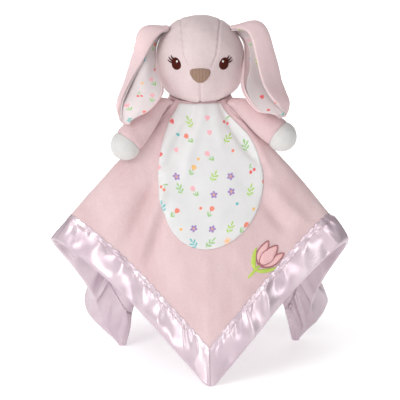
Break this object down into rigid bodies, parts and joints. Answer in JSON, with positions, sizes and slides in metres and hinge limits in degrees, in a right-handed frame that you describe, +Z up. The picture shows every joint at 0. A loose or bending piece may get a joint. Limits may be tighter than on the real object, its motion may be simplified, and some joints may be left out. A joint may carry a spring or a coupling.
{
  "type": "plush lovey",
  "caption": "Plush bunny head with long floppy ears and short arms on a square satin-edged comfort blanket that stands as a soft tent.",
  "frame": {"origin": "on the floor under the middle of the whole outline, level with the blanket's four standing corners", "axes": "+Z up along the height, -Y the way the face looks, +X to the viewer's right when facing it"},
  "size_m": [0.2586, 0.2026, 0.308],
  "materials": {
    "velour": "soft brushed velour",
    "satin": "smooth shiny satin",
    "jersey": "printed knit jersey",
    "plush": "short plush",
    "paw_plush": "short white plush",
    "lining": "printed knit jersey",
    "fibrefill": "loose white filling",
    "eye_thread": "glossy embroidery thread",
    "nose_thread": "satin-stitched thread"
  },
  "bodies": {
    "blanket": {"blanket_face": "velour", "satin_backing": "satin", "border_front_right": "satin", "border_back_right": "satin", "border_back_left": "satin", "border_front_left": "satin", "belly_panel": "jersey"},
    "head": {"head_gusset": "plush", "head_side_left": "plush", "head_side_right": "plush", "head_stuffing": "fibrefill", "nose": "nose_thread", "eye_left": "eye_thread", "eye_right": "eye_thread"},
    "ear_left": {"ear_outer_left": "velour", "ear_lining_left": "lining"},
    "ear_right": {"ear_outer_right": "velour", "ear_lining_right": "lining"},
    "arm_left": {"sleeve_left": "velour", "paw_left": "paw_plush", "arm_stuffing_left": "fibrefill"},
    "arm_right": {"sleeve_right": "velour", "paw_right": "paw_plush", "arm_stuffing_right": "fibrefill"}
  },
  "joints": [
    {"name": "head_nod", "type": "hinge", "parent": "blanket", "child": "head", "pos_m": [0.00045, -0.01877, 0.2388], "axis": [1, 0, 0], "range_deg": [-8, 3]},
    {"name": "ear_left_lift", "type": "hinge", "parent": "head", "child": "ear_left", "pos_m": [-0.02785, -0.02477, 0.2993], "axis": [-0.235, 0.9719, -0.016], "range_deg": [0, 100]},
    {"name": "ear_right_lift", "type": "hinge", "parent": "head", "child": "ear_right", "pos_m": [0.02875, -0.02477, 0.2993], "axis": [-0.235, -0.9719, 0.016], "range_deg": [0, 100]},
    {"name": "arm_left_swing", "type": "hinge", "parent": "blanket", "child": "arm_left", "pos_m": [-0.03555, -0.03277, 0.234], "axis": [-0.3687, -0.5786, 0.7275], "range_deg": [0, 32]},
    {"name": "arm_right_swing", "type": "hinge", "parent": "blanket", "child": "arm_right", "pos_m": [0.03645, -0.03277, 0.234], "axis": [-0.3687, 0.5786, -0.7275], "range_deg": [0, 32]}
  ]
}
